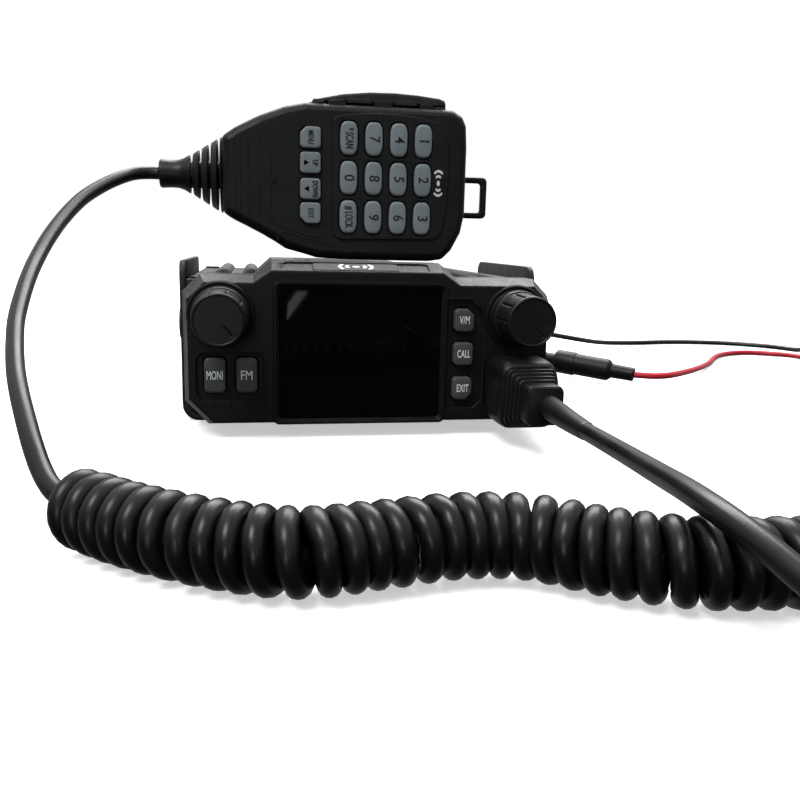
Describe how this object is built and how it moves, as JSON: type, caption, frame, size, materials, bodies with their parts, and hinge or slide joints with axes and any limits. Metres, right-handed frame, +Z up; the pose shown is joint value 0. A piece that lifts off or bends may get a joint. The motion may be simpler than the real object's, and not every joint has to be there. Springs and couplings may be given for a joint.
{
  "type": "mobile_transceiver",
  "caption": "Compact mobile radio with display, knobs and keys, held in a U bracket, with keypad hand microphone on a curly cord and a fused two-wire supply lead",
  "frame": {"origin": "middle of the mounting bracket's underside, on the surface that the set stands on", "axes": "+X to the right seen from the front, +Y from the front panel to the rear, +Z up"},
  "size_m": [0.3567, 0.3705, 0.096],
  "materials": {
    "panel_plastic": "moulded near-black plastic, fine grain",
    "knob_plastic": "moulded black plastic, satin",
    "window_glass": "glossy dark display window",
    "lcd_body": "display module frame",
    "cast_black": "die-cast aluminium, black fine texture paint",
    "bracket_paint": "bent sheet steel, black powder coat",
    "front_key": "grey moulded key, satin",
    "handset_plastic": "moulded dark plastic, fine grain",
    "handset_key": "grey silicone key",
    "soft_black": "black flexible moulding",
    "cord_jacket": "satin black cord jacket",
    "wire_black": "black wire jacket",
    "wire_red": "red wire jacket",
    "screw_black": "black-finished steel screw",
    "steel": "turned steel",
    "nickel": "nickel-plated brass",
    "circuit_board": "green circuit board with parts",
    "speaker_black": "speaker with paper cone"
  },
  "bodies": {
    "radio": {"front_panel": "panel_plastic", "display_window": "window_glass", "lcd_module": "lcd_body", "chassis": "cast_black", "top_cover": "cast_black", "main_board": "circuit_board", "front_board": "circuit_board", "speaker": "speaker_black", "rotary_controls": "steel", "mic_jack": "panel_plastic", "antenna_socket": "nickel", "dc_grommet": "soft_black", "speaker_jack": "nickel", "fan_frame": "panel_plastic", "case_screws": "screw_black", "bracket_screws": "screw_black", "cord_curl": "cord_jacket", "cord_plug_tail": "cord_jacket", "cord_handset_tail": "cord_jacket", "mic_plug": "soft_black", "wire_black": "wire_black", "wire_red_inner": "wire_red", "fuse_holder": "soft_black", "wire_red_outer": "wire_red", "lead_coil": "wire_red", "ring_terminals": "nickel"},
    "bracket": {"bracket": "bracket_paint"},
    "handset": {"handset_front": "handset_plastic", "handset_rear": "handset_plastic", "handset_board": "circuit_board", "mic_capsule": "nickel", "hanger_loop": "handset_plastic", "cord_boot": "soft_black"},
    "talk_lever": {"talk_lever": "handset_plastic"},
    "volume_knob": {"volume_knob": "knob_plastic", "volume_shaft": "steel"},
    "channel_knob": {"channel_knob": "knob_plastic", "channel_shaft": "steel"},
    "fan_rotor": {"fan_rotor": "panel_plastic"},
    "key_1": {"key_1": "handset_key"},
    "key_2": {"key_2": "handset_key"},
    "key_3": {"key_3": "handset_key"},
    "key_4": {"key_4": "handset_key"},
    "key_5": {"key_5": "handset_key"},
    "key_6": {"key_6": "handset_key"},
    "key_7": {"key_7": "handset_key"},
    "key_8": {"key_8": "handset_key"},
    "key_9": {"key_9": "handset_key"},
    "key_star": {"key_star": "handset_key"},
    "key_0": {"key_0": "handset_key"},
    "key_hash": {"key_hash": "handset_key"},
    "key_menu": {"key_menu": "handset_key"},
    "key_up": {"key_up": "handset_key"},
    "key_down": {"key_down": "handset_key"},
    "key_exit": {"key_exit": "handset_key"},
    "front_key_left": {"front_key_left": "front_key"},
    "front_key_right": {"front_key_right": "front_key"},
    "front_key_upper": {"front_key_upper": "front_key"},
    "front_key_middle": {"front_key_middle": "front_key"},
    "front_key_lower": {"front_key_lower": "front_key"}
  },
  "joints": [
    {"name": "bracket_tilt", "type": "hinge", "parent": "radio", "child": "bracket", "pos_m": [0, 0.001, 0.025], "axis": [1, 0, 0], "range_deg": [-4, 4]},
    {"name": "handset_lift", "type": "slide", "parent": "radio", "child": "handset", "axis": [0, 0, 1], "range_m": [0, 0.03]},
    {"name": "talk_lever_press", "type": "hinge", "parent": "handset", "child": "talk_lever", "pos_m": [0.0264, 0.005, 0.0886], "axis": [0, -1, 0], "range_deg": [0, 3], "stiffness_Nm_per_rad": 0.6},
    {"name": "volume_turn", "type": "hinge", "parent": "radio", "child": "volume_knob", "pos_m": [-0.0392, -0.06, 0.0324], "axis": [0, -1, 0], "range_deg": [-150, 150]},
    {"name": "channel_turn", "type": "hinge", "parent": "radio", "child": "channel_knob", "pos_m": [0.0383, -0.06, 0.0324], "axis": [0, -1, 0], "continuous": true},
    {"name": "fan_spin", "type": "hinge", "parent": "radio", "child": "fan_rotor", "pos_m": [-0.002, 0.05, 0.023], "axis": [0, 1, 0], "continuous": true},
    {"name": "front_key_left_press", "type": "slide", "parent": "radio", "child": "front_key_left", "axis": [0, 1, 0], "range_m": [0, 0.0008], "stiffness_N_per_m": 900},
    {"name": "front_key_right_press", "type": "slide", "parent": "radio", "child": "front_key_right", "axis": [0, 1, 0], "range_m": [0, 0.0008], "stiffness_N_per_m": 900},
    {"name": "front_key_upper_press", "type": "slide", "parent": "radio", "child": "front_key_upper", "axis": [0, 1, 0], "range_m": [0, 0.0008], "stiffness_N_per_m": 900},
    {"name": "front_key_middle_press", "type": "slide", "parent": "radio", "child": "front_key_middle", "axis": [0, 1, 0], "range_m": [0, 0.0008], "stiffness_N_per_m": 900},
    {"name": "front_key_lower_press", "type": "slide", "parent": "radio", "child": "front_key_lower", "axis": [0, 1, 0], "range_m": [0, 0.0008], "stiffness_N_per_m": 900},
    {"name": "key_1_press", "type": "slide", "parent": "handset", "child": "key_1", "axis": [0, 1, 0], "range_m": [0, 0.0007], "stiffness_N_per_m": 700},
    {"name": "key_2_press", "type": "slide", "parent": "handset", "child": "key_2", "axis": [0, 1, 0], "range_m": [0, 0.0007], "stiffness_N_per_m": 700},
    {"name": "key_3_press", "type": "slide", "parent": "handset", "child": "key_3", "axis": [0, 1, 0], "range_m": [0, 0.0007], "stiffness_N_per_m": 700},
    {"name": "key_4_press", "type": "slide", "parent": "handset", "child": "key_4", "axis": [0, 1, 0], "range_m": [0, 0.0007], "stiffness_N_per_m": 700},
    {"name": "key_5_press", "type": "slide", "parent": "handset", "child": "key_5", "axis": [0, 1, 0], "range_m": [0, 0.0007], "stiffness_N_per_m": 700},
    {"name": "key_6_press", "type": "slide", "parent": "handset", "child": "key_6", "axis": [0, 1, 0], "range_m": [0, 0.0007], "stiffness_N_per_m": 700},
    {"name": "key_7_press", "type": "slide", "parent": "handset", "child": "key_7", "axis": [0, 1, 0], "range_m": [0, 0.0007], "stiffness_N_per_m": 700},
    {"name": "key_8_press", "type": "slide", "parent": "handset", "child": "key_8", "axis": [0, 1, 0], "range_m": [0, 0.0007], "stiffness_N_per_m": 700},
    {"name": "key_9_press", "type": "slide", "parent": "handset", "child": "key_9", "axis": [0, 1, 0], "range_m": [0, 0.0007], "stiffness_N_per_m": 700},
    {"name": "key_star_press", "type": "slide", "parent": "handset", "child": "key_star", "axis": [0, 1, 0], "range_m": [0, 0.0007], "stiffness_N_per_m": 700},
    {"name": "key_0_press", "type": "slide", "parent": "handset", "child": "key_0", "axis": [0, 1, 0], "range_m": [0, 0.0007], "stiffness_N_per_m": 700},
    {"name": "key_hash_press", "type": "slide", "parent": "handset", "child": "key_hash", "axis": [0, 1, 0], "range_m": [0, 0.0007], "stiffness_N_per_m": 700},
    {"name": "key_menu_press", "type": "slide", "parent": "handset", "child": "key_menu", "axis": [0, 1, 0], "range_m": [0, 0.0007], "stiffness_N_per_m": 700},
    {"name": "key_up_press", "type": "slide", "parent": "handset", "child": "key_up", "axis": [0, 1, 0], "range_m": [0, 0.0007], "stiffness_N_per_m": 700},
    {"name": "key_down_press", "type": "slide", "parent": "handset", "child": "key_down", "axis": [0, 1, 0], "range_m": [0, 0.0007], "stiffness_N_per_m": 700},
    {"name": "key_exit_press", "type": "slide", "parent": "handset", "child": "key_exit", "axis": [0, 1, 0], "range_m": [0, 0.0007], "stiffness_N_per_m": 700}
  ]
}
